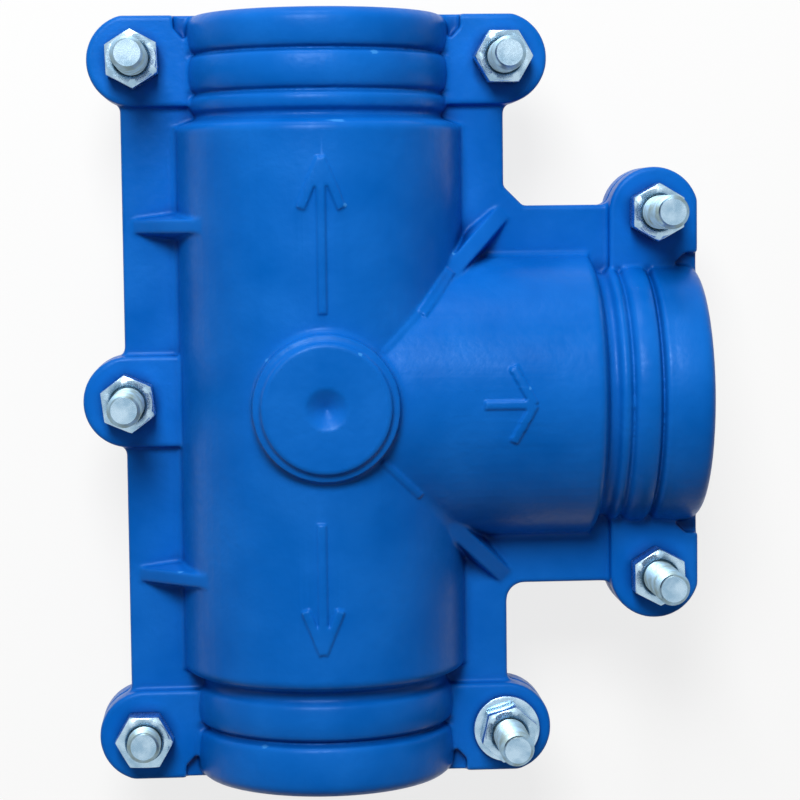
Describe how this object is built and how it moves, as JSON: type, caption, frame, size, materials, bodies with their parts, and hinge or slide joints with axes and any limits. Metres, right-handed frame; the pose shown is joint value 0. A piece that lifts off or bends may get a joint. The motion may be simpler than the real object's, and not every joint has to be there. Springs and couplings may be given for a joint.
{
  "type": "mechanical tee",
  "caption": "Split repair-clamp tee: two blue coated iron half shells bolted round a pipe, with rubber gaskets, corrugated socket collars and a blank tapping boss.",
  "frame": {"origin": "where the run and branch axes cross, in the split plane", "axes": "+Y along the run, +X out along the branch, +Z towards the front shell with the tapping boss"},
  "size_m": [0.2218, 0.274, 0.1095],
  "materials": {
    "coated_iron": "semi-gloss epoxy coat over cast iron",
    "rubber": "matte",
    "zinc": "bright zinc plate"
  },
  "bodies": {
    "root": {"front_shell": "coated_iron", "rear_shell": "coated_iron", "front_gasket": "rubber", "rear_gasket": "rubber", "bolt_upper_left": "zinc", "bolt_middle_left": "zinc", "bolt_lower_left": "zinc", "bolt_upper_right": "zinc", "bolt_lower_right": "zinc", "bolt_branch_upper": "zinc", "bolt_branch_lower": "zinc", "nut_upper_left": "zinc", "nut_middle_left": "zinc", "nut_lower_left": "zinc", "nut_upper_right": "zinc", "nut_lower_right": "zinc", "nut_branch_upper": "zinc", "nut_branch_lower": "zinc", "washer_lower_right": "zinc"}
  },
  "joints": []
}
